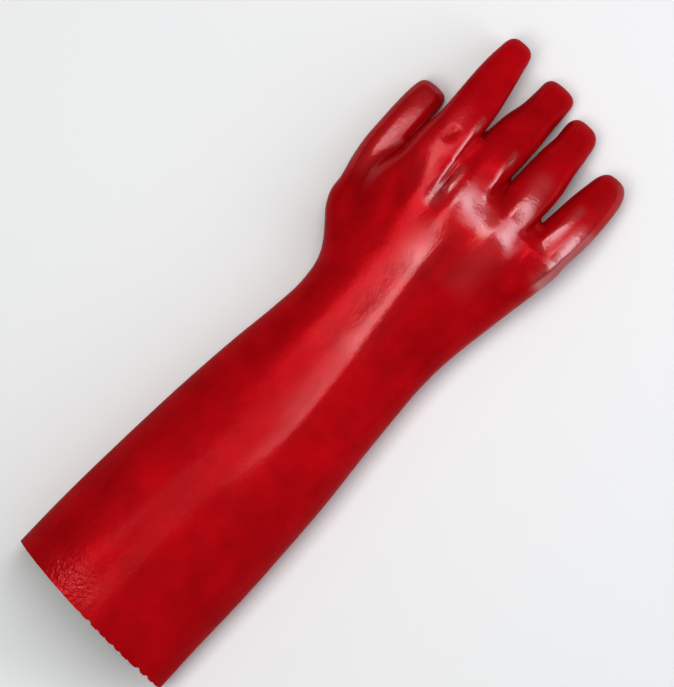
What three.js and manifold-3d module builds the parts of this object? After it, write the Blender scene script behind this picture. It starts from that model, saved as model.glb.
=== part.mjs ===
// A long gauntlet glove for the right hand, lying palm down with its fingers curled to the surface.
// The real one is a cotton glove dipped in PVC, so coat and cotton are one wall, and the whole glove one piece.
//
// Millimetres. y runs from the sleeve's mouth to the fingertips, x across with the thumb at -x,
// and z up from the surface that the glove lies on. The group then moves its middle to the origin.
import * as THREE from "three";
import Module from "manifold-3d";

const LENGTH = 450;
const WALL = 1.4;
const SLEEVE_SIDES = 36;
const DIGIT_SIDES = 16;
const SLEEVE_RING_STEP = 12;
const DIGIT_RING_STEP = 9;
const TIP_RINGS = 4;
const SQUARENESS = 2.25; // exponent of the sections: 2 is an ellipse, more is boxier
const THUMB_SQUARENESS = 3; // the thumb lies flatter, with a plain upper face
const TIP_SQUARENESS = 3; // the same for the outline of a tip
const MOUTH_OVERRUN = 6; // the hollow runs on past the sleeve's mouth by this

// Sleeve and hand. left and right are the edges seen from above, side is the height where the
// section is widest, lean moves the crown across, and hollow lifts the middle of the palm.
const HAND_COLUMNS = ["y", "left", "right", "bottom", "side", "top", "lean", "hollow"];
const HAND = [
  [0, -65, 60.6, -3, 27, 66, -10, 0],
  [35, -64, 60.8, -3, 29, 71, -10, 0],
  [75, -62, 61.8, -3, 30, 73.5, -7, 0],
  [115, -59, 61.6, -3, 30, 73, -2, 0],
  [155, -55.2, 60.6, -3, 30, 70.5, 2, 0],
  [195, -50.2, 58, -3, 31, 66.5, 4, 0],
  [225, -45.6, 56.6, -2, 32, 63.5, 4, 0],
  [247, -43.4, 56, -1, 32, 61.5, 3, 0],
  [265, -45, 57, 0.5, 31, 61, 1, 0],
  [283, -49.5, 59.4, 4, 29, 61.5, -2, 2],
  [303, -55, 63, 9, 28, 62.5, -5, 4],
  [320, -59, 66, 13.5, 28, 64, -7, 5],
  [335, -57, 68, 19.5, 32, 65, -8, 5],
  [348, -52, 69.4, 25, 37, 65, -9, 3],
  [360, -49.5, 70.5, 29, 40, 61, -9, 1],
  [370, -47, 69, 31, 40, 56, -8, 0],
  [378, -44, 65, 34, 39, 50, -6, 0],
];
const WEB_END = 383; // where the webs between the fingers end, on the glove's middle line
const WEB_SLANT = -0.21; // the webs lie further back towards the little finger
const WEB_SLANT_FROM = 330;

// The sleeve is cut off on a slant, highest at the thumb's side.
const MOUTH_AT_MIDDLE = 3.2;
const MOUTH_SLOPE = -0.081;
const MOUTH_BOW = 0.00063;
const MOUTH_FADES_BY = 90;

// Fingers and thumb: each starts inside the hand, and its last row is at the tip.
// The tip's rounding starts cap before it.
const DIGIT_COLUMNS = ["y", "left", "right", "bottom", "top"];
const DIGITS = {
  thumb: {
    cap: 8,
    squareness: THUMB_SQUARENESS,
    rows: [
      [252, -34, -10, 14, 38],
      [265, -42.5, -8, 9, 42],
      [276, -50.5, -6, 4.5, 45],
      [284, -57, -6, 1.5, 46.5],
      [292, -63.3, -10, 0.5, 47],
      [301, -67.6, -17, 0.5, 46.5],
      [313, -69, -29, 2, 44],
      [326, -71.8, -41, 4, 41.5],
      [340, -73.7, -48.5, 5, 38.5],
      [355, -74, -50, 5, 35.5],
      [370, -74, -50, 3.5, 32],
      [382, -73.4, -50.6, 1, 28],
      [394, -71.6, -52, -2, 23],
    ],
  },
  index: {
    cap: 10,
    rows: [
      [325, -44, -17, 30, 48],
      [344, -49.5, -18.5, 30, 57.5],
      [363, -50.2, -19.6, 31, 64],
      [382, -49.2, -20.4, 32, 62.5],
      [400, -49.7, -21.5, 30, 57.5],
      [415, -50.3, -23.6, 24.5, 50.5],
      [430, -50, -26.6, 17, 42.5],
      [440, -49, -28.7, 12, 36],
      [450, -48, -30, 7, 29],
    ],
  },
  middle: {
    cap: 9,
    rows: [
      [325, -15, 7, 31, 51],
      [345, -19, 9.5, 31.5, 61],
      [362, -20, 10.6, 31.5, 66.5],
      [379, -20.5, 11, 29.5, 62.5],
      [396, -19.6, 11, 23.5, 54.5],
      [410, -17.8, 10.6, 15, 45],
      [421, -15, 10, 8, 36.5],
      [432, -13.9, 9.8, 1.5, 27.5],
      [446.5, -13.3, 9.2, -4.5, 17],
    ],
  },
  ring: {
    cap: 11,
    rows: [
      [322, 14, 37, 29, 48],
      [342, 12.5, 40.5, 30, 58],
      [360, 11.6, 42, 30.5, 63.5],
      [378, 11.6, 41.6, 28.5, 59.5],
      [396, 12.2, 40.9, 22, 51.5],
      [410, 13.2, 38.8, 13.5, 42],
      [420, 14.4, 37.9, 6.5, 34.5],
      [430, 14, 36.6, 1, 26.5],
      [439, 14.4, 34.8, -3.5, 18.5],
    ],
  },
  little: {
    cap: 13,
    rows: [
      [308, 36, 57, 20, 36],
      [329, 39, 65.4, 21, 45],
      [348, 41, 69.8, 21.5, 52],
      [367, 41.9, 72.6, 21.5, 52.5],
      [384, 44.2, 74, 18.5, 48],
      [400, 46.6, 74, 12.5, 40.5],
      [412, 48.8, 73.2, 6.5, 33],
      [426, 51.2, 70.4, 0, 24],
    ],
  },
};

const PVC_RED = new THREE.Color(0.45, 0.006, 0.014);

// A smooth curve through each column of a table: give it y, and it gives the row there.
function rowsOf(columns, table) {
  const spline = new THREE.CubicInterpolant(
    table.map((row) => row[0]),
    table.flat(),
    columns.length,
  );
  return (y) => {
    const values = spline.evaluate(y);
    return Object.fromEntries(columns.map((column, i) => [column, values[i]]));
  };
}

// Places of the rings of points between two ends, evenly spaced and at most step apart.
function ringPlaces(from, to, step) {
  const gaps = Math.ceil((to - from) / step);
  return Array.from({ length: gaps + 1 }, (_, i) => from + ((to - from) * i) / gaps);
}

// Points round one section. Its wall is moved in by inset, and share shrinks it, as in a tip.
function section(row, sides, inset, share = 1) {
  const { left, right, bottom, top, lean = 0, hollow = 0, squareness = SQUARENESS } = row;
  const side = row.side ?? (bottom + top) / 2;
  const halfWidth = ((right - left) / 2 - inset) * share;
  const middle = (left + right) / 2;
  return Array.from({ length: sides }, (_, i) => {
    const angle = (2 * Math.PI * i) / sides;
    const across = superellipse(Math.cos(angle), squareness);
    const up = superellipse(Math.sin(angle), squareness);
    const crown = up > 0 ? lean * up * up : 0;
    const halfHeight = ((up > 0 ? top - side : side - bottom) - inset) * share;
    const lifted = up < 0 ? hollow * up * up * up * up : 0;
    const z = Math.max(side + halfHeight * up + lifted, inset);
    return new THREE.Vector3(middle + halfWidth * across + crown, row.y, z);
  });
}

function superellipse(cosine, squareness) {
  return Math.sign(cosine) * Math.abs(cosine) ** (2 / squareness);
}

// A closed solid through rings of points, each end closed to a point in its middle.
function loft(rings) {
  const sides = rings[0].length;
  const middleOf = (ring) =>
    ring.reduce((sum, point) => sum.add(point), new THREE.Vector3()).divideScalar(sides);
  const points = [...rings.flat(), middleOf(rings[0]), middleOf(rings.at(-1))];
  const last = (rings.length - 1) * sides;
  const faces = [];
  for (let i = 0; i < sides; i++) {
    const next = (i + 1) % sides;
    for (let start = 0; start < last; start += sides) {
      const [a, b, c, d] = [start + i, start + next, start + sides + next, start + sides + i];
      faces.push(a, c, b, a, d, c);
    }
    faces.push(points.length - 2, i, next, points.length - 1, last + next, last + i);
  }
  return new THREE.BufferGeometry().setFromPoints(points).setIndex(faces);
}

// The rings that round off a tip. cap is its length, and y where it starts.
function tipRings(rowAt, y, cap, sides, inset) {
  const length = cap - inset;
  return Array.from({ length: TIP_RINGS }, (_, i) => {
    const reach = Math.sin(((i + 1) / (TIP_RINGS + 0.5)) * (Math.PI / 2));
    const share = (1 - reach ** TIP_SQUARENESS) ** (1 / TIP_SQUARENESS);
    return section({ ...rowAt(y + cap * reach), y: y + length * reach }, sides, inset, share);
  });
}

// One finger or the thumb.
function digit({ cap, squareness, rows }, inset) {
  const plainRowAt = rowsOf(DIGIT_COLUMNS, rows);
  const rowAt = (y) => ({ ...plainRowAt(y), squareness });
  const start = rows[0][0];
  const capStart = rows.at(-1)[0] - cap;
  const places = ringPlaces(start, capStart, DIGIT_RING_STEP);
  const rings = places.map((y) => section(rowAt(y), DIGIT_SIDES, inset));
  return loft([...rings, ...tipRings(rowAt, capStart, cap, DIGIT_SIDES, inset)]);
}

// How far the slanting cut of the mouth and the slant of the webs move a point along the glove.
function slanted(point) {
  const toMouth = THREE.MathUtils.clamp(1 - point.y / MOUTH_FADES_BY, 0, 1.2);
  const mouth = MOUTH_AT_MIDDLE + MOUTH_SLOPE * point.x + MOUTH_BOW * point.x ** 2;
  const toWebs = THREE.MathUtils.smoothstep(point.y, WEB_SLANT_FROM, WEB_END);
  point.y += toMouth * mouth + toWebs * WEB_SLANT * point.x;
  return point;
}

// The sleeve and the hand as far as the webs between the fingers.
function sleeveAndHand(inset) {
  const rowAt = rowsOf(HAND_COLUMNS, HAND);
  const last = HAND.at(-1)[0];
  const places = ringPlaces(0, last, SLEEVE_RING_STEP);
  const rings = places.map((y) => section(rowAt(y), SLEEVE_SIDES, inset));
  if (inset > 0) {
    rings.unshift(section({ ...rowAt(0), y: -MOUTH_OVERRUN }, SLEEVE_SIDES, inset));
  }
  const webs = tipRings(() => rowAt(last), last, WEB_END - last, SLEEVE_SIDES, inset);
  return loft([...rings, ...webs].map((ring) => ring.map(slanted)));
}

const manifold = await Module();
manifold.setup();

function toSolid(geometry) {
  return new manifold.Manifold(
    new manifold.Mesh({
      numProp: 3,
      vertProperties: geometry.getAttribute("position").array,
      triVerts: new Uint32Array(geometry.index.array),
    }),
  );
}

function toGeometry(solid) {
  const { vertProperties, triVerts } = solid.getMesh();
  return new THREE.BufferGeometry()
    .setAttribute("position", new THREE.BufferAttribute(vertProperties, 3))
    .setIndex(new THREE.BufferAttribute(triVerts, 1));
}

// The outside of the glove, or its hollow where the inset is the wall's thickness.
function gloveForm(inset) {
  const digits = Object.values(DIGITS).map((each) => toSolid(digit(each, inset)));
  return digits.reduce((form, each) => form.add(each), toSolid(sleeveAndHand(inset)));
}

function gauntletGlove() {
  const shell = toGeometry(gloveForm(0).subtract(gloveForm(WALL)));
  shell.computeVertexNormals();
  const pvc = new THREE.MeshStandardMaterial({ color: PVC_RED, roughness: 0.28, metalness: 0 });
  const mesh = new THREE.Mesh(shell, pvc);
  mesh.name = "gauntlet_glove";
  return mesh;
}

const glove = new THREE.Group();
glove.add(gauntletGlove());
glove.position.set(0, -LENGTH / 2, 0);

export default glove;
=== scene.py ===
from math import pi, radians

import bpy
import numpy as np
from mathutils import Matrix, Vector


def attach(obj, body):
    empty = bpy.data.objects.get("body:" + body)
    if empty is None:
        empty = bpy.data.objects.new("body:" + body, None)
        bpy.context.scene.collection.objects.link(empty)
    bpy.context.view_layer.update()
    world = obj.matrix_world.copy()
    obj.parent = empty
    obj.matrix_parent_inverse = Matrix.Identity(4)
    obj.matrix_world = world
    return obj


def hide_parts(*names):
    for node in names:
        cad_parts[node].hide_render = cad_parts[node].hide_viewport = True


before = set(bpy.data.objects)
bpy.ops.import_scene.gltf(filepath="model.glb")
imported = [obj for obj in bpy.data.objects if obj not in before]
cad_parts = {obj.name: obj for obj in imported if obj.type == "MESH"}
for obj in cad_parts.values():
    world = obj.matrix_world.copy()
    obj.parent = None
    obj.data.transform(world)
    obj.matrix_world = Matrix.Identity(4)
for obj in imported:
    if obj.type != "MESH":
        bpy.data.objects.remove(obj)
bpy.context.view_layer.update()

# The glove
#
# The real glove is one piece: a knitted cotton glove pulled over a curved hand former, dipped in
# red PVC, which rounds every web and valley, and cut off at the sleeve's mouth. It is empty, and
# lies palm down on its sleeve and fingertips.

# Lengths of the glove are in millimetres. y runs from the sleeve's mouth to the fingertips, with
# the thumb at -x, and z up from the surface that it lies on.
MM = 0.001
LENGTH = 450
WALL = 1.4
SQUARENESS = 2.25
TIP_SQUARENESS = 3
LEAST_LEVEL = 1e-4

# Sections of sleeve and hand. Columns: y, left, right, bottom, height of the widest place, top,
# how far the crown leans aside, and how far the palm is lifted in its middle.
HAND = np.array([
    (0, -65, 60.6, -3, 27, 67.6, -10, 0),
    (35, -64, 60.8, -3, 29, 71.3, -10, 0),
    (75, -62, 61.8, -3, 30, 73.5, -7, 0),
    (115, -59, 61.6, -3, 30, 73, -2, 0),
    (155, -55.2, 60.6, -3, 30, 70.5, 2, 0),
    (195, -50.2, 58, -3, 31, 66.5, 1, 0),
    (225, -45.6, 56.6, -2, 32, 63.5, -2, 0),
    (247, -43.4, 56, -1, 32, 61.5, -3, 0),
    (265, -45, 57, 0.5, 31, 61, -3.5, 0),
    (283, -49.5, 59.4, 4, 29, 61.5, -4.5, 2),
    (303, -55, 63, 9, 28, 62.7, -6, 4),
    (320, -59, 66, 13.5, 28, 64.4, -7, 5),
    (335, -57, 68, 19.5, 32, 65.9, -8, 5),
    (348, -52, 69.4, 25, 35, 63.6, -8, 3),
    (358, -50, 70.4, 28.5, 37, 60.6, -8, 1.3),
    (363, -49, 70.5, 30, 38, 58.8, -8, 0.7),
    (370, -47, 69, 31, 39, 53.5, -7, 0),
    (378, -44, 65, 32, 38, 45, -6, 0),
], dtype=float)
CROWN_LEANS_UP_TO = 1.2

# The hand ends at the webs of the fingers, which lie nearer the mouth on the little finger's side.
WEB_START, WEB_END = 376, 383
WEB_SLANT, WEB_SLANT_FROM = -0.21, 330

# The sleeve is cut off on a slant with a slight bow. Further up the sleeve the slant is gone.
MOUTH_AT_MIDDLE, MOUTH_SLOPE, MOUTH_BOW = 3.2, -0.081, 0.00063
MOUTH_FADES_BY = 90

# Each digit: the length of its rounded tip, its squareness, and its sections. Columns: y, left,
# right, bottom, top.
DIGITS = {
    "index": (10, 3, [
        (325, -44, -17, 30, 48),
        (344, -49.5, -18.5, 30, 59.5),
        (363, -50.2, -19.6, 31, 61.5),
        (382, -49.2, -20.4, 30.5, 58),
        (400, -49.7, -21.5, 27, 52.5),
        (415, -50.3, -23.6, 21.5, 46.5),
        (430, -50, -26.6, 14.5, 39.5),
        (440, -49, -28.7, 10, 33.5),
        (450, -48, -30, 6, 27.5),
    ]),
    "middle": (9, SQUARENESS, [
        (325, -15, 7, 31, 51),
        (345, -19, 9.5, 31.5, 61.2),
        (362, -20, 9, 31, 60.8),
        (379, -20.5, 10.5, 28, 57.6),
        (396, -19.6, 10.8, 22, 50.5),
        (410, -17.8, 10.6, 14, 42.5),
        (421, -15, 10, 7.5, 35),
        (432, -13.9, 9.8, 1.5, 27),
        (446.5, -13.3, 9.2, -4.5, 17),
    ]),
    "ring": (11, SQUARENESS, [
        (322, 14, 37, 29, 48),
        (342, 12.5, 40.5, 30, 60.6),
        (360, 13.2, 42, 30, 59.4),
        (378, 12.3, 41.6, 27, 56.2),
        (396, 12.5, 40.9, 20.5, 49),
        (410, 13.2, 38.8, 12.5, 41),
        (420, 14.4, 37.9, 6, 34),
        (430, 14, 36.6, 1, 26.5),
        (439, 14.4, 34.8, -3.5, 18.5),
    ]),
    "little": (13, SQUARENESS, [
        (308, 36, 57, 20, 42),
        (329, 39, 65.4, 21, 52.6),
        (348, 41, 69.8, 21.5, 52.3),
        (367, 42.8, 72.6, 21, 49.6),
        (384, 44.8, 74, 17.5, 45),
        (400, 46.6, 74, 11.5, 38.5),
        (412, 48.8, 73.2, 6, 31.5),
        (426, 51.2, 70.4, 0, 24),
    ]),
    "thumb": (8, 3, [
        (252, -34, -10, 14, 38),
        (265, -42.5, -8, 9, 42),
        (276, -50.5, -6, 4.5, 45),
        (284, -57, -6, 1.5, 46.5),
        (292, -63.3, -10, 0.5, 47),
        (301, -67.6, -17, 0.5, 46.5),
        (313, -69, -29, 2, 44),
        (326, -71.8, -41, 4, 41.5),
        (340, -73.7, -48.5, 5, 38.5),
        (355, -74, -50.4, 5, 35.5),
        (370, -74, -50.6, 3.5, 32),
        (382, -73.4, -51, 1, 28),
        (394, -71.6, -52, -2, 23),
    ]),
    "web beside the index finger": (4, 3, [
        (330, -29, -2, 38, 56),
        (343, -28.5, -2, 38, 58.5),
        (352, -28, -3, 38, 58.4),
        (362, -27, -3, 37, 57.8),
        (375, -26, -4, 36, 56),
        (388, -24, -6, 35, 52.5),
    ]),
}
ROOT_CAP = 14

# How far two forms melt into each other where they meet, as thick dip runs into a corner.
FINGER_BLEND, HAND_BLEND, FLOOR_BLEND = 3, 9, 3

# Long shallow waves, as thin sheet has between its folds. Columns: height, across, shift, start,
# length and begin, as in the formula of relief.
SLEEVE_WAVES = [(0.28, 6.1, 95, 0, 61, 1.1), (0.2, 3.7, -70, 2, 47, 0)]

# Ridges of the back of the hand, and valleys where the height is less than 0. Columns: y, x of
# the ridge's line, height, and the widths over which it falls off on its left and its right.
RELIEF = {
    "fold down the back": [
        (100, 14, 0, 9, 9), (140, 15, 0.4, 9, 8), (165, 16, 0.9, 9, 7), (200, 15, 1.4, 10, 5),
        (230, 13.3, 1.6, 11, 4.2), (250, 11.5, 1.6, 11, 4.2), (270, 9.5, 1.6, 11, 4.2),
        (290, 7, 1.6, 11, 4.5), (310, 5, 1.5, 11, 5), (328, 5, 1, 11, 6), (345, 4, 0.3, 11, 7),
        (360, 2, 0, 11, 7),
    ],
    "hollow beside the index knuckle": [
        (285, -25, 0, 8, 8), (303, -30, -0.6, 7, 7), (320, -35, -1, 7, 6),
        (337, -40.5, -1, 6, 6), (350, -46, -0.6, 6, 6), (362, -50, 0, 6, 6),
    ],
    "index knuckle": [
        (318, -26, 0, 8, 8), (332, -28, 0.7, 8, 8), (348, -31, 1, 7, 9), (365, -35, 0.6, 7, 9),
        (380, -36, 0, 7, 9),
    ],
    "index knuckle's dimple": [(370, -35, 0, 3, 3), (377, -35, -0.8, 3.2, 3), (384, -34, 0, 3, 3)],
    "index knuckle's edge": [
        (338, -20.8, 0, 5, 2), (348, -21.9, 0.7, 5, 1.5), (362, -22.9, 1, 5, 1.3),
        (376, -24.3, 1, 5, 1.3), (390, -26.2, 0.9, 4, 1.4), (402, -28, 0, 4, 2),
    ],
    "notch between index and middle": [
        (333, -16.6, 0, 6, 4), (340, -16.9, -1.2, 5.5, 3.6), (347, -17.3, -2.2, 4, 2.4),
        (353, -18, -2.3, 2.8, 2), (360, -18.6, -1.6, 2.6, 2.2), (368, -19.2, -0.5, 2.6, 3),
        (376, -20, 0, 2.6, 3),
    ],
    "middle knuckle's edge": [
        (342, -15.8, 0, 1.6, 3), (350, -15.7, 0.7, 1.6, 3), (362, -15.4, 0.6, 1.6, 3),
        (370, -15.2, 0, 1.6, 3),
    ],
    "middle knuckle": [
        (318, -4, 0, 9, 14), (334, -4, 1.2, 8, 14), (345, -4, 1.2, 7, 14), (360, -5, 0.6, 7, 10),
        (374, -5, 0, 7, 8),
    ],
    "middle finger's right edge": [
        (356, 8, 0, 4, 2), (366, 6.4, 1, 3.5, 1.8), (376, 4.6, 1, 3.5, 1.8),
        (388, 2.8, 0.8, 3.5, 1.8), (400, 1.5, 0, 4, 3),
    ],
    "ring knuckle": [
        (318, 27, 0, 8, 9), (334, 27, 1.4, 8, 9), (345, 27, 1.5, 8, 9), (358, 27, 1.1, 8, 8),
        (372, 27, 0.7, 6, 8), (390, 27, 0, 5, 7),
    ],
    "valley between ring and little": [
        (285, 46, 0, 7, 8), (305, 46.5, -0.9, 6, 8), (325, 46, -1.5, 6, 8), (345, 44.5, -2, 5, 7),
        (360, 43, -2, 4, 5), (374, 42.3, -1.5, 2.5, 3), (386, 42, 0, 2.5, 3),
    ],
    "little knuckle": [
        (335, 51.5, 0, 5, 4), (350, 50.5, 0.7, 3, 3), (360, 50.5, 1, 3, 2.6),
        (372, 51.5, 1, 3, 2.6), (385, 54, 0.8, 3, 2.6), (398, 57, 0, 3, 3),
    ],
    "groove of the little finger": [
        (343, 58, 0, 3, 3), (352, 58, -0.6, 3, 3), (360, 58, -0.6, 3, 3), (372, 58.8, -0.4, 3, 3),
        (388, 60.5, 0, 3, 3),
    ],
}
RELIEF_RISES_OVER = 8

# Where the skin dips into the web between two fingers, with a crisp rim. Columns: x and y of the
# middle, half the width, half the length, and how deep the middle is without its rounding.
WEB_DIPS = [(12, 382, 12, 21, 7), (42.5, 378, 6, 17, 5)]
DIP_RIM = 0.08
DIPS_FROM, DIPS_TO = 34, 42

# The shears left notches in the right half of the cut edge. Columns: x, depth, half the width.
NOTCHES = [
    (-8, 0.6, 2), (0, 1.4, 2.2), (8, 0.9, 1.8), (14, 0.7, 1.5), (21, 1.3, 1.8), (27, 1, 1.6),
    (34, 0.6, 1.5), (42.5, 1.9, 2.6), (49.5, 1.7, 2.2), (55.5, 0.8, 1.6),
]
NOTCH_ROUNDING = 0.8
NOTCHES_FADE_BY = 9


def along(table, y):
    """A table's columns at y, without the first. Between two rows it is a cubic through both,
    with the slopes of the rows around."""
    slopes = np.gradient(table, table[:, 0], axis=0)
    row = np.clip(np.searchsorted(table[:, 0], y) - 1, 0, len(table) - 2)
    gap = (table[row + 1, 0] - table[row, 0])[..., None]
    t = np.clip((y - table[row, 0])[..., None] / gap, 0, 1)
    values = (
        table[row] * (1 - t) ** 2 * (1 + 2 * t)
        + slopes[row] * gap * t * (1 - t) ** 2
        + table[row + 1] * t**2 * (3 - 2 * t)
        - slopes[row + 1] * gap * t**2 * (1 - t)
    )
    return np.moveaxis(values, -1, 0)[1:]


def melted(a, b, blend):
    """The nearer of two forms, and nearer still by a sixth of the blend where both are as near,
    which falls to 0 as the cube of 1 - |a - b| / blend."""
    closeness = np.maximum(blend - np.abs(a - b), 0) / blend
    return np.minimum(a, b) - closeness**3 * blend / 6


def oval(dx, dz, past, half_width, half_height, cap, squareness):
    """Distance to an oval's wall along the line from its middle. Around a section, level is
    ((dx / half_width)^n + (dz / half_height)^n)^(1/n), with n the squareness. In the same way,
    a tip's level joins that with past / cap. The wall is where the level is 1."""
    level = np.abs(dx / half_width) ** squareness + np.abs(dz / half_height) ** squareness
    level = np.maximum(level, LEAST_LEVEL) ** (1 / squareness)
    level = (level**TIP_SQUARENESS + (past / cap) ** TIP_SQUARENESS) ** (1 / TIP_SQUARENESS)
    return np.sqrt(dx**2 + dz**2 + past**2) * (1 - 1 / level)


def mouth_y(x):
    """How far along the glove its cut edge lies: a slanting line with a slight bow."""
    return MOUTH_AT_MIDDLE + MOUTH_SLOPE * x + MOUTH_BOW * x**2


def from_mouth(x, y):
    """y as it was before the slanting cut squeezed the sleeve's first stretch."""
    mouth = mouth_y(x)
    return np.where(y < MOUTH_FADES_BY, (y - mouth) / (1 - mouth / MOUTH_FADES_BY), y)


def hand_form(x, y, z):
    """Sleeve and hand: an oval whose crown leans aside and whose palm is lifted in its middle.
    Towards the webs, y is moved by the slant times x."""
    y = from_mouth(x, y)
    t = np.clip((y - WEB_SLANT_FROM) / (WEB_END - WEB_SLANT_FROM), 0, 1)
    y = y - t**2 * (3 - 2 * t) * WEB_SLANT * x
    left, right, bottom, side, top, lean, hollow = along(HAND, np.minimum(y, WEB_START))
    half_width = (right - left) / 2
    dx = x - (left + right) / 2
    dz = z - side
    dx = dx - lean * np.clip(dz / (top - side), 0, CROWN_LEANS_UP_TO) ** 2
    dz = dz - np.where(dz < 0, hollow * np.clip(1 - (dx / half_width) ** 2, 0, 1) ** 2, 0)
    half_height = np.where(dz > 0, top - side, side - bottom)
    past = np.maximum(y - WEB_START, 0)
    return oval(dx, dz, past, half_width, half_height, WEB_END - WEB_START, SQUARENESS)


def digit_form(x, y, z, cap, squareness, rows):
    """A finger: an oval along its rows, rounded off over the cap at its tip and inside the hand."""
    table = np.array(rows, dtype=float)
    first, last = table[0, 0], table[-1, 0] - cap
    left, right, bottom, top = along(table, y)
    past = np.maximum(y - last, 0) + np.maximum(first + ROOT_CAP - y, 0) * cap / ROOT_CAP
    dx, dz = x - (left + right) / 2, z - (bottom + top) / 2
    return oval(dx, dz, past, (right - left) / 2, (top - bottom) / 2, cap, squareness)


def relief(x, y):
    """How far the skin is raised. Each wave is height * sin(x / across + y / shift + start)
    * sin(y / length + begin). Each ridge is height * exp(-(d / width)^2), with d across from
    its line."""
    raised = 0
    for height, across, shift, start, length, begin in SLEEVE_WAVES:
        wave = height * np.sin(x / across + y / shift + start)
        raised = raised + wave * np.sin(y / length + begin)
    for rows in RELIEF.values():
        middle, height, left_width, right_width = along(np.array(rows, dtype=float), y)
        d = x - middle
        raised = raised + height * np.exp(-((d / np.where(d < 0, left_width, right_width)) ** 2))
    return raised


def dipped(x, y):
    """How far the skin dips into the webs. With s from 0 at an oval's rim to 1 in its middle,
    it is depth * s^2 / (s + rim), which is nearly a straight slope down from a crisp rim."""
    depth = np.zeros_like(x)
    for middle_x, middle_y, half_width, half_length, deep in WEB_DIPS:
        across, ahead = (x - middle_x) / half_width, (y - middle_y) / half_length
        inside = np.clip(1 - np.hypot(across, ahead), 0, 1)
        depth = depth + deep * inside**2 / (inside + DIP_RIM)
    return depth


def glove_form(x, y, z):
    """Distance to the glove's skin, less than 0 inside: hand and digits melted, flat on the floor.
    Above the widest part of the hand's section, the relief raises the skin."""
    digits = np.inf
    for digit in DIGITS.values():
        digits = melted(digits, digit_form(x, y, z, *digit), FINGER_BLEND)
    hand = hand_form(x, y, z)
    hand = hand + dipped(x, y) * np.clip((z - DIPS_FROM) / (DIPS_TO - DIPS_FROM), 0, 1)
    whole = melted(hand, digits, HAND_BLEND)
    _, _, _, side, *_ = along(HAND, y)
    whole = whole - relief(x, y) * np.clip((z - side) / RELIEF_RISES_OVER, 0, 1)
    return -melted(-whole, z, FLOOR_BLEND)


def notched(x):
    """Depth of the notches at x: each is a triangle with a rounded bottom."""
    depth = np.zeros_like(x)
    for middle, deep, half in NOTCHES:
        depth = depth + deep * np.clip(1 - np.abs(x - middle) / half, 0, 1) ** NOTCH_ROUNDING
    return depth


def skin_net(x, y, z, value):
    """The surface value = 0 in a grid, as quads. Each cell that it passes through has one corner,
    at the mean of the points where its edges cross; each grid edge that crosses has a quad.
    Also says which corners are in the grid's first cells along y."""
    nodes = np.stack(np.broadcast_arrays(x, y, z), axis=-1)
    cells = np.array(value.shape) - 1
    total = np.zeros((cells.prod(), 3))
    count = np.zeros(cells.prod())
    quads = []
    for axis in range(3):
        side_1, side_2 = (axis + 1) % 3, (axis + 2) % 3
        near = np.moveaxis(np.moveaxis(value, axis, 0)[:-1], 0, axis)
        far = np.moveaxis(np.moveaxis(value, axis, 0)[1:], 0, axis)
        start = np.stack(np.nonzero((near < 0) != (far < 0)), axis=-1)
        end = start + np.eye(3, dtype=int)[axis]
        a, b = value[tuple(start.T)], value[tuple(end.T)]
        share = (a / (a - b))[:, None]
        crossing = nodes[tuple(start.T)] * (1 - share) + nodes[tuple(end.T)] * share
        around = []
        for back_1, back_2 in ((0, 0), (1, 0), (1, 1), (0, 1)):
            cell = start.copy()
            cell[:, side_1] -= back_1
            cell[:, side_2] -= back_2
            real = np.all((cell >= 0) & (cell < cells), axis=1)
            index = np.ravel_multi_index(tuple(np.where(real[:, None], cell, 0).T), cells)
            for k in range(3):
                total[:, k] += np.bincount(index[real], crossing[real, k], len(total))
            count += np.bincount(index[real], minlength=len(count))
            around.append(np.where(real, index, -1))
        around = np.stack(around, axis=-1)
        around = np.where((a < 0)[:, None], around, around[:, ::-1])
        quads.append(around[np.all(around >= 0, axis=1)])
    used = np.nonzero(count)[0]
    renumber = np.zeros(len(count), dtype=int)
    renumber[used] = np.arange(len(used))
    first = np.unravel_index(used, cells)[1] == 0
    return total[used] / count[used, None], renumber[np.concatenate(quads)], first


SLOPE_STEP = 0.02


def slope(points):
    """The form's slope at each point, from its values a step to either side along each axis."""
    rises = []
    for step in SLOPE_STEP * np.eye(3):
        rises.append(glove_form(*(points + step).T) - glove_form(*(points - step).T))
    return np.stack(rises, axis=-1) / (2 * SLOPE_STEP)


def settled(points, at_mouth, times):
    """Points moved down the form's slope onto the skin. Those at the mouth stay on its cut."""
    for _ in range(times):
        way = slope(points)
        way[at_mouth, 1] = 0
        value = glove_form(*points.T)
        points = points - (value / (way**2).sum(axis=1))[:, None] * way
        x = points[at_mouth, 0]
        points[at_mouth, 1] = mouth_y(x) + notched(x)
    return points


def mean_around(values, quads):
    """The mean of the neighbours' values at each corner of the net."""
    total = np.zeros_like(values)
    count = np.zeros(len(values))
    for k in range(4):
        a, b = quads[:, k], quads[:, (k + 1) % 4]
        for here, there in ((a, b), (b, a)):
            for axis in range(values.shape[1]):
                total[:, axis] += np.bincount(here, values[there, axis], len(values))
            count += np.bincount(here, minlength=len(values))
    return total / count[:, None]


# Grid lines in runs. Columns: from, to, spacing. They are fine along the knuckles, across the
# notch between index and middle finger and at the cut edge, and coarse along the plain sleeve.
# The first cells along y, on both sides of 0, hold the cut edge.
GRID_X = [(-77, -30, 1.35), (-30, -12.5, 0.8), (-12, 78, 1.35)]
FIRST_Y = [-0.5, 0.5, 1.7]
GRID_Y = [(3.2, 40, 2.6), (42, 238, 7), (240, 328, 3), (329, 402, 1.5), (403, 454, 2.2)]
GRID_Z = [(-1, 79, 1.95)]


def grid_lines(runs):
    """The lines of all the runs: in each, from its first place in steps of its spacing."""
    return np.concatenate([np.arange(start, end, spacing) for start, end, spacing in runs])


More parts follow.
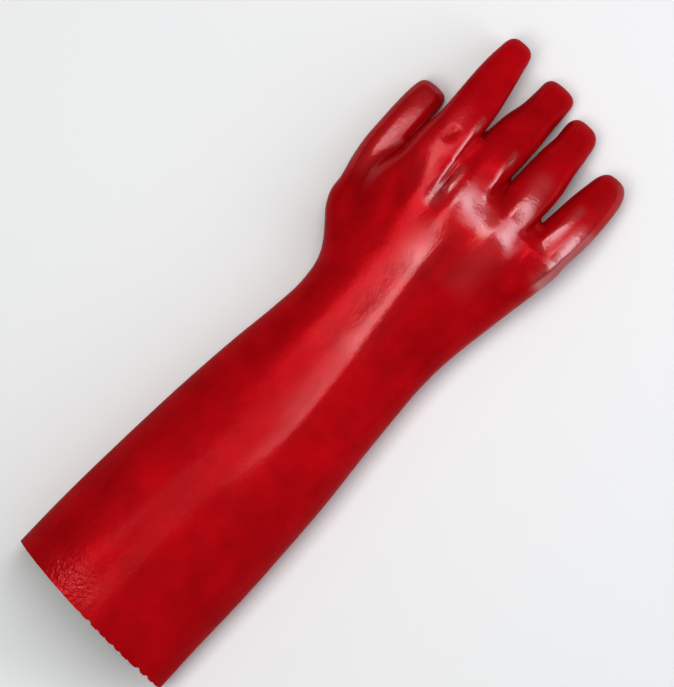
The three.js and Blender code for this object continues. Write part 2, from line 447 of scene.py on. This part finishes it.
gx = grid_lines(GRID_X)[:, None, None]
gz = grid_lines(GRID_Z)[None, None, :]
straight_y = np.concatenate([FIRST_Y, grid_lines(GRID_Y)])[None, :, None]
gy = straight_y + np.clip(1 - straight_y / MOUTH_FADES_BY, 0, None) * mouth_y(gx)
gy = gy + np.clip(1 - straight_y / NOTCHES_FADE_BY, 0, 1) * notched(gx)
skin, quads, at_mouth = skin_net(gx, gy, gz, glove_form(gx, gy, gz))

# The net's corners settle onto the skin in steps. Then, in rounds, each moves halfway to the mean
# of its neighbours, which evens them out, and they settle again.
FIRST_STEPS, ROUNDS, STEPS_IN_ROUND = 4, 3, 2
skin = settled(skin, at_mouth, FIRST_STEPS)
for _ in range(ROUNDS):
    skin = np.where(at_mouth[:, None], skin, (skin + mean_around(skin, quads)) / 2)
    skin = settled(skin, at_mouth, STEPS_IN_ROUND)
outward = slope(skin)
outward /= np.linalg.norm(outward, axis=1)[:, None]


def rim_quads(quads, count):
    """Quads between the skin's open edge and the lining's: an open edge is in one quad only."""
    edges = np.concatenate([quads[:, [k, (k + 1) % 4]] for k in range(4)])
    key = np.sort(edges, axis=1)
    key = key[:, 0] * count + key[:, 1]
    _, first, times = np.unique(key, return_index=True, return_counts=True)
    a, b = edges[first[times == 1]].T
    return np.stack([b, a, a + count, b + count], axis=-1)


def new_piece(name, corners, faces):
    """A piece's mesh and object, from corners in millimetres with y from the sleeve's mouth."""
    made = bpy.data.meshes.new(name)
    made.from_pydata((corners - (0, LENGTH / 2, 0)) * MM, [], faces)
    made.update()
    made.shade_smooth()
    piece = bpy.data.objects.new(name, made)
    bpy.context.collection.objects.link(piece)
    return piece, made


# The lining is the skin moved in by the wall, and the rim between them is the cut.
lining = skin - outward * WALL
lining[at_mouth, 1] = skin[at_mouth, 1]
rim = rim_quads(quads, len(skin))
faces = np.concatenate([quads, quads[:, ::-1] + len(skin), rim])
gauntlet, mesh = new_piece("gauntlet", np.concatenate([skin, lining]), faces)
mesh.normals_split_custom_set_from_vertices(np.concatenate([outward, -outward]))
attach(gauntlet, "root")
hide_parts("gauntlet_glove")

# How deep each corner lies in a valley: how far it lies under the mean of its neighbours, spread
# out over the corners around. In the valleys the PVC's colour is darkened as painted shade.
VALLEY_DEPTH = 0.05
VALLEY_SPREADS = 6
valley = ((mean_around(skin, quads) - skin) * outward).sum(axis=1)[:, None]
for _ in range(VALLEY_SPREADS):
    valley = mean_around(valley, quads)
valley = np.clip(valley[:, 0] / VALLEY_DEPTH, -1, 1)
valleys = mesh.attributes.new("valley", "FLOAT", "POINT")
valleys.data.foreach_set("value", np.tile(valley, 2).astype(np.float32))

# How glossy the dip's surface is: rubbed dull nearly everywhere, and glossy along runs where it
# was thick. Columns: x and y of a run's start, x and y of its end, width, gloss. A run fades as
# gloss * exp(-(distance / width)^2), and down the glove's sides.
RUBBED_GLOSS = 0.006
GLOSS_RUNS = {
    "crinkled cuff": (-41, 15, -18, 15, 10, 0.06),
    "fold over the sleeve": (13, 125, 12, 170, 7, 0.035),
    "fold over the wrist": (11, 185, 8, 235, 9, 0.065),
    "fold over the hand": (7, 245, 2, 305, 9.5, 0.15),
    "fold's end": (1, 310, 4, 330, 10, 0.16),
    "beside the fold": (-13, 320, -8, 235, 13, 0.016),
    "index knuckle's edge": (-26.2, 397, -21.2, 348, 1.3, 1),
    "end of the notch": (-17.5, 347, -17, 340, 4, 1),
    "middle knuckle's edge": (-15.5, 365, -15.5, 350, 2.5, 0.8),
    "below the web of middle and ring": (1, 353, 13, 351, 8, 0.9),
    "middle finger's right edge": (2.8, 394, 7, 362, 1.8, 0.9),
    "ring knuckle": (28, 392, 33, 350, 6, 0.7),
    "below the ring knuckle": (31, 345, 30, 315, 10, 0.35),
    "little finger's fold": (56.5, 395, 53.5, 363, 3, 0.7),
    "little knuckle": (68, 385, 66, 345, 4.5, 1),
    "little finger's side": (68, 425, 68, 390, 6, 0.15),
    "index knuckle": (-37, 388, -35, 345, 9, 0.085),
    "thumb's face": (-62, 385, -62, 330, 10, 0.22),
}
DULL_SIDES_BELOW = 0.3
on_top = np.clip(outward[:, 2] / DULL_SIDES_BELOW, 0, 1)
gloss = np.full(len(skin), RUBBED_GLOSS)
for x, y, end_x, end_y, width, strength in GLOSS_RUNS.values():
    run = np.array((end_x - x, end_y - y), dtype=float)
    from_start = skin[:, :2] - (x, y)
    share = np.clip(from_start @ run / (run @ run), 0, 1)
    away = np.linalg.norm(from_start - share[:, None] * run, axis=1)
    gloss = gloss + strength * on_top * np.exp(-((away / width) ** 2))
glossy = mesh.attributes.new("gloss", "FLOAT", "POINT")
glossy.data.foreach_set("value", np.tile(np.clip(gloss, 0, 1), 2).astype(np.float32))

# Round the sleeve for u and along it for v, both in millimetres, for the knit of the lining.
ROUND_AT = (2, 30)
ROUND_RADIUS = 55
loop_corner = np.empty(len(mesh.loops), dtype=np.int32)
mesh.loops.foreach_get("vertex_index", loop_corner)
corner = np.concatenate([skin, lining])[loop_corner]
angle = np.arctan2(corner[:, 0] - ROUND_AT[0], corner[:, 2] - ROUND_AT[1]).reshape(-1, 4)
over_seam = (angle.max(axis=1) - angle.min(axis=1) > pi)[:, None]
angle = np.where(over_seam & (angle < 0), angle + 2 * pi, angle)
round_and_along = np.stack([angle.ravel() * ROUND_RADIUS, corner[:, 1]], axis=-1)
flat = mesh.uv_layers.new(name="round and along")
flat.data.foreach_set("uv", round_and_along.astype(np.float32).ravel())


def new_finish(name):
    """A new material, with its nodes and its shader."""
    made = bpy.data.materials.new(name)
    made.use_nodes = True
    return made, made.node_tree, made.node_tree.nodes["Principled BSDF"]


def put(tree, value, socket):
    """Sets a socket to a value, or joins another node's output to it."""
    if isinstance(value, bpy.types.NodeSocket):
        tree.links.new(value, socket)
    else:
        socket.default_value = value


def add(tree, kind, settings=(), **inputs):
    """A new node in a material, with its settings and inputs."""
    made = tree.nodes.new(kind)
    for name, value in dict(settings).items():
        setattr(made, name, value)
    for name, value in inputs.items():
        put(tree, value, made.inputs[name])
    return made


def maths(tree, operation, *values, kind="ShaderNodeMath", clamped=False):
    """What a Math or Vector Math node works out from its values, kept from 0 to 1 if clamped."""
    made = add(tree, kind, {"operation": operation})
    if clamped:
        made.use_clamp = True
    for k, value in enumerate(values):
        put(tree, value, made.inputs[k])
    return made.outputs["Value"]


def noise(tree, place, scale, detail=3, roughness=0.55):
    """How strong the noise is, from 0 to 1, with about scale of its patches in a metre."""
    made = add(
        tree, "ShaderNodeTexNoise", Vector=place, Scale=scale, Detail=detail, Roughness=roughness
    )
    return made.outputs["Fac"]


def between(tree, value, span, new_span):
    """A value in a span, as the number at the same share of the new span."""
    made = add(tree, "ShaderNodeMapRange", Value=value)
    for name, number in zip(("From Min", "From Max", "To Min", "To Max"), (*span, *new_span)):
        made.inputs[name].default_value = number
    return made.outputs["Result"]


# The places of the Mix node's sockets for colours, which share their names with others.
MIX_FIRST, MIX_SECOND, MIX_COLOUR = 6, 7, 2


def blended(tree, share, first, second):
    """The first colour where the share is 0, and the second where it is 1."""
    made = add(tree, "ShaderNodeMix", {"data_type": "RGBA"}, Factor=share)
    put(tree, first, made.inputs[MIX_FIRST])
    put(tree, second, made.inputs[MIX_SECOND])
    return made.outputs[MIX_COLOUR]


# The PVC: a deep red dip, blotchy where it is thinner over the knit, darkened in the valleys as
# painted shade, with a red sheen in its body and a clear gloss on top. Fine orange peel all over,
# and crinkles near the cut edge.
THICK_RED, THIN_RED = (0.24, 0.0008, 0.002, 1), (0.41, 0.0015, 0.004, 1)
SPECK_RED, VALLEY_SHADE_RED = (0.28, 0.0008, 0.002, 1), (0.16, 0.001, 0.002, 1)
pvc, tree, shader = new_finish("red PVC")
place = add(tree, "ShaderNodeTexCoord").outputs["Object"]
in_valley = add(tree, "ShaderNodeAttribute", {"attribute_name": "valley"}).outputs["Fac"]
blotches = noise(tree, place, scale=38, detail=5, roughness=0.6)
specks = noise(tree, place, scale=420, detail=3, roughness=0.7)
colour = blended(tree, between(tree, blotches, (0.3, 0.7), (0, 1)), THICK_RED, THIN_RED)
colour = blended(tree, between(tree, specks, (0.35, 0.7), (0, 0.35)), colour, SPECK_RED)
# Painted shade: the deeper a valley, the darker red the colour there.
colour = blended(tree, between(tree, in_valley, (0.05, 1), (0, 0.45)), colour, VALLEY_SHADE_RED)
tree.links.new(colour, shader.inputs["Base Color"])

# The red sheen is duller on the sleeve than on the hand, a little patchy, duller in the valleys,
# and less dull on the crinkled stretch of the cuff. A strong tint over a low IOR makes it red.
# Places are in metres from the frame's origin.
SLEEVE_TO_HAND, DULL_TO_LESS_DULL = (-0.14, 0.04), (0.57, 0.35)
CRINKLED_CUFF = (-0.031, -0.213, 0.058)
forward = add(tree, "ShaderNodeSeparateXYZ", Vector=place).outputs["Y"]
from_cuff = maths(tree, "DISTANCE", place, CRINKLED_CUFF, kind="ShaderNodeVectorMath")
patches = noise(tree, place, scale=90)
patchy = between(tree, patches, (0.3, 0.7), (-0.05, 0.05))
duller = between(tree, in_valley, (0.3, 1), (0, 0.35))
less_dull = between(tree, from_cuff, (0.01, 0.055), (-0.22, 0))
dull = between(tree, forward, SLEEVE_TO_HAND, DULL_TO_LESS_DULL)
for change in (patchy, duller, less_dull):
    dull = maths(tree, "ADD", dull, change)
tree.links.new(dull, shader.inputs["Roughness"])
shader.inputs["IOR"].default_value = 1.05
shader.inputs["Specular Tint"].default_value = (155, 2, 4, 1)

# The clear gloss lies along the runs, more of it on ridges and less in valleys.
gloss = add(tree, "ShaderNodeAttribute", {"attribute_name": "gloss"}).outputs["Fac"]
rubbed = between(tree, in_valley, (-1, 1), (1.3, 0.6))
gloss = maths(tree, "MULTIPLY", gloss, rubbed, clamped=True)
tree.links.new(gloss, shader.inputs["Coat Weight"])
shader.inputs["Coat IOR"].default_value = 2
shader.inputs["Coat Roughness"].default_value = 0.16

# Orange peel and wider ripples all over, and crinkles that fade with the distance from the
# cuff's crinkled place.
RIPPLE_HEIGHT, CRINKLE_HEIGHT = 2.8, 20
peel = noise(tree, place, scale=900, detail=2)
ripples = noise(tree, place, scale=170, detail=3)
crinkles = noise(tree, place, scale=330, detail=2)
crinkled = between(tree, from_cuff, (0.008, 0.03), (CRINKLE_HEIGHT, 0))
height = maths(tree, "MULTIPLY_ADD", ripples, RIPPLE_HEIGHT, peel)
height = maths(tree, "MULTIPLY_ADD", crinkles, crinkled, height)
for socket in ("Normal", "Coat Normal"):
    bump = add(tree, "ShaderNodeBump", Height=height, Strength=0.25, Distance=0.0003)
    tree.links.new(bump.outputs["Normal"], shader.inputs[socket])
mesh.materials.append(pvc)

# The lining: plain cotton knit, tinted where the dip soaked through. Each stitch is a V of yarn,
# as high as the distance to the stitch's sides times the distance to its slanting row's edges.
STITCH_WIDTH, STITCH_HEIGHT, STITCH_SLANT = 1.6, 1.3, 1.2
SHADED_COTTON, COTTON = (0.42, 0.3, 0.26, 1), (0.72, 0.64, 0.56, 1)
SOAKED_COTTON = (0.5, 0.16, 0.14, 1)
YARN_HEIGHT = 6
knit, tree, shader = new_finish("cotton knit")
uv = add(tree, "ShaderNodeUVMap", {"uv_map": "round and along"}).outputs["UV"]
parts = add(tree, "ShaderNodeSeparateXYZ", Vector=uv)
column = maths(tree, "DIVIDE", parts.outputs["X"], STITCH_WIDTH)
in_column = maths(tree, "FRACT", column)
arm = maths(tree, "PINGPONG", in_column, 0.5)
row = maths(tree, "DIVIDE", parts.outputs["Y"], STITCH_HEIGHT)
slanted_row = maths(tree, "MULTIPLY_ADD", arm, STITCH_SLANT, row)
in_row = maths(tree, "PINGPONG", slanted_row, 0.5)
yarn = maths(tree, "MULTIPLY", in_row, arm)
place = add(tree, "ShaderNodeTexCoord").outputs["Object"]
cotton = blended(tree, between(tree, yarn, (0, 0.2), (0, 1)), SHADED_COTTON, COTTON)
soaking = noise(tree, place, scale=60, detail=4, roughness=0.7)
soaked = between(tree, soaking, (0.5, 0.75), (0, 0.6))
tree.links.new(blended(tree, soaked, cotton, SOAKED_COTTON), shader.inputs["Base Color"])
shader.inputs["Roughness"].default_value = 0.95
fuzz = noise(tree, place, scale=2500, detail=2)
height = maths(tree, "MULTIPLY_ADD", yarn, YARN_HEIGHT, fuzz)
bump = add(tree, "ShaderNodeBump", Height=height, Strength=0.6, Distance=0.0004)
tree.links.new(bump.outputs["Normal"], shader.inputs["Normal"])
mesh.materials.append(knit)

# Skin and rim are PVC, the lining is knit.
finish_of_face = np.repeat([0, 1, 0], [len(quads), len(quads), len(rim)])
mesh.polygons.foreach_set("material_index", finish_of_face.astype(np.int32))

# Cotton fibres at the cut edge
#
# Where the shears tore the cut edge, ends of the knit's cotton yarn stick out among the notches.
# Each is a thin strand with four sides, a few tenths of a millimetre thick, rooted in the wall.
FIBRES = 70
FIBRE_RADIUS = 0.11
FIBRE_TAPER = 0.6
FIBRE_ROOT = 0.8
FIBRE_RINGS = 5
SHORTEST, LONGEST = 1.1, 2.6
SPREAD_ASIDE, SPREAD_UP = 0.5, 0.3
CURL, CURL_EACH_WAY = 0.5, (1, 0.3, 0.6)
TORN_FROM, TORN_TO, TORN_ABOVE = -12, 58, 30
edge_x, edge_z = skin[:, 0], skin[:, 2]
torn = at_mouth & (edge_x > TORN_FROM) & (edge_x < TORN_TO) & (edge_z > TORN_ABOVE)
rng = np.random.default_rng(7)
root = rng.choice(np.nonzero(torn)[0], FIBRES)
aside, up = rng.normal(0, SPREAD_ASIDE, FIBRES), rng.normal(0, SPREAD_UP, FIBRES)
reach = rng.uniform(SHORTEST, LONGEST, FIBRES)
curl = rng.normal(0, CURL, (FIBRES, 3)) * CURL_EACH_WAY

# The strand's middle is start + way * t * reach + curl * t^2, with t from 0 to 1 along it, and a
# ring of four corners around it gets thinner by the taper.
start = (skin[root] + lining[root]) / 2 + (0, FIBRE_ROOT, 0)
way = np.stack([aside, -np.ones(FIBRES), up], axis=-1)
t = np.linspace(0, 1, FIBRE_RINGS)[None, :, None]
middle = start[:, None] + way[:, None] * t * reach[:, None, None] + curl[:, None] * t**2
around = np.array([(1, 0, 0), (0, 0, 1), (-1, 0, 0), (0, 0, -1)]) * FIBRE_RADIUS
ring = middle[:, :, None] + around * (1 - FIBRE_TAPER * t[..., None])
sides = len(around)
first = np.arange(FIBRES)[:, None, None] * FIBRE_RINGS * sides
here = first + np.arange(FIBRE_RINGS - 1)[None, :, None] * sides
further = here + sides
side = np.arange(sides)
after = (side + 1) % sides
walls = np.stack([further + side, further + after, here + after, here + side], axis=-1)
last = first + (FIBRE_RINGS - 1) * sides
ends = np.concatenate([first[:, 0] + side, last[:, 0] + side[::-1]])
strand_faces = np.concatenate([walls.reshape(-1, 4), ends])
fibres, fibre_mesh = new_piece("cut_fibres", ring.reshape(-1, 3), strand_faces)
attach(fibres, "root")

# The yarn is raw cotton, stained by the dip in places.
RAW_YARN, STAINED_YARN = (0.75, 0.66, 0.6, 1), (0.6, 0.25, 0.22, 1)
cotton_yarn, tree, shader = new_finish("cotton yarn")
place = add(tree, "ShaderNodeTexCoord").outputs["Object"]
stained = between(tree, noise(tree, place, scale=300, detail=2), (0.4, 0.6), (0, 1))
tree.links.new(blended(tree, stained, RAW_YARN, STAINED_YARN), shader.inputs["Base Color"])
shader.inputs["Roughness"].default_value = 0.9
fibre_mesh.materials.append(cotton_yarn)

# Floor, light and camera
#
# A pale floor. A softbox overhead a little to the thumb's side lights the ridge of the sleeve, and
# a long one beyond the fingers on the other side lights the knuckles. The view is straight down.
FLOOR_REACH = 4
floor_corners = [(-1, -1, 0), (1, -1, 0), (1, 1, 0), (-1, 1, 0)]
floor_mesh = bpy.data.meshes.new("floor")
floor_mesh.from_pydata(np.array(floor_corners) * FLOOR_REACH, [], [(0, 1, 2, 3)])
floor = bpy.data.objects.new("floor", floor_mesh)
bpy.context.collection.objects.link(floor)
floor_paint, tree, shader = new_finish("floor paint")
shader.inputs["Base Color"].default_value = (0.8, 0.82, 0.81, 1)
shader.inputs["Roughness"].default_value = 0.9
shader.inputs["Specular IOR Level"].default_value = 0.1
floor_mesh.materials.append(floor_paint)

# The room around is dim, and lighter overhead than at the horizon.
world = bpy.data.worlds.new("studio")
world.use_nodes = True
tree = world.node_tree
ray = add(tree, "ShaderNodeTexCoord").outputs["Generated"]
upward = add(tree, "ShaderNodeSeparateXYZ", Vector=ray).outputs["Z"]
room = tree.nodes["Background"]
room.inputs["Color"].default_value = (1, 1, 1, 1)
tree.links.new(between(tree, upward, (0, 0.8), (0.1, 0.26)), room.inputs["Strength"])
bpy.context.scene.world = world


def softbox(name, towards, distance, length_way, length, width, power, colour):
    """A lit panel at a distance from the glove's middle, facing it, with its length along a way."""
    panel = bpy.data.lights.new(name, "AREA")
    panel.shape = "RECTANGLE"
    panel.size, panel.size_y, panel.energy, panel.color = length, width, power, colour
    back = Vector(towards).normalized()
    across = (Vector(length_way) - back * back.dot(Vector(length_way))).normalized()
    up = back.cross(across)
    placed = bpy.data.objects.new(name, panel)
    placed.matrix_world = Matrix((
        (across[0], up[0], back[0], back[0] * distance),
        (across[1], up[1], back[1], back[1] * distance),
        (across[2], up[2], back[2], back[2] * distance),
        (0, 0, 0, 1),
    ))
    bpy.context.collection.objects.link(placed)


softbox(
    "overhead", towards=(-0.14, 0.02, 0.985), distance=1.6,
    length_way=(0, 1, 0), length=1.7, width=0.5, power=19, colour=(1, 1, 1),
)
softbox(
    "knuckle light", towards=(0.558, 0.504, 0.659), distance=1.33,
    length_way=(0.685, -0.34, -0.644), length=2.1, width=0.36, power=8.5, colour=(1, 0.95, 1.05),
)

# The camera is far off with a long lens, and turned by these degrees. Its picture's long side
# shows this much, in metres, at the height of the glove's outline.
PICTURE_LONG_SIDE = 0.4269
PICTURE_MIDDLE = (-0.001, 0.0084)
PICTURE_TURN = 42
CAMERA_HEIGHT = 5
OUTLINE_HEIGHT = 0.025
camera_data = bpy.data.cameras.new("camera")
camera_data.sensor_width = 36
camera_data.lens = camera_data.sensor_width * (CAMERA_HEIGHT - OUTLINE_HEIGHT) / PICTURE_LONG_SIDE
camera = bpy.data.objects.new("camera", camera_data)
camera.location = (*PICTURE_MIDDLE, CAMERA_HEIGHT)
camera.rotation_euler = (0, 0, radians(PICTURE_TURN))
bpy.context.collection.objects.link(camera)
bpy.context.scene.camera = camera
bpy.context.scene.view_settings.view_transform = "Standard"
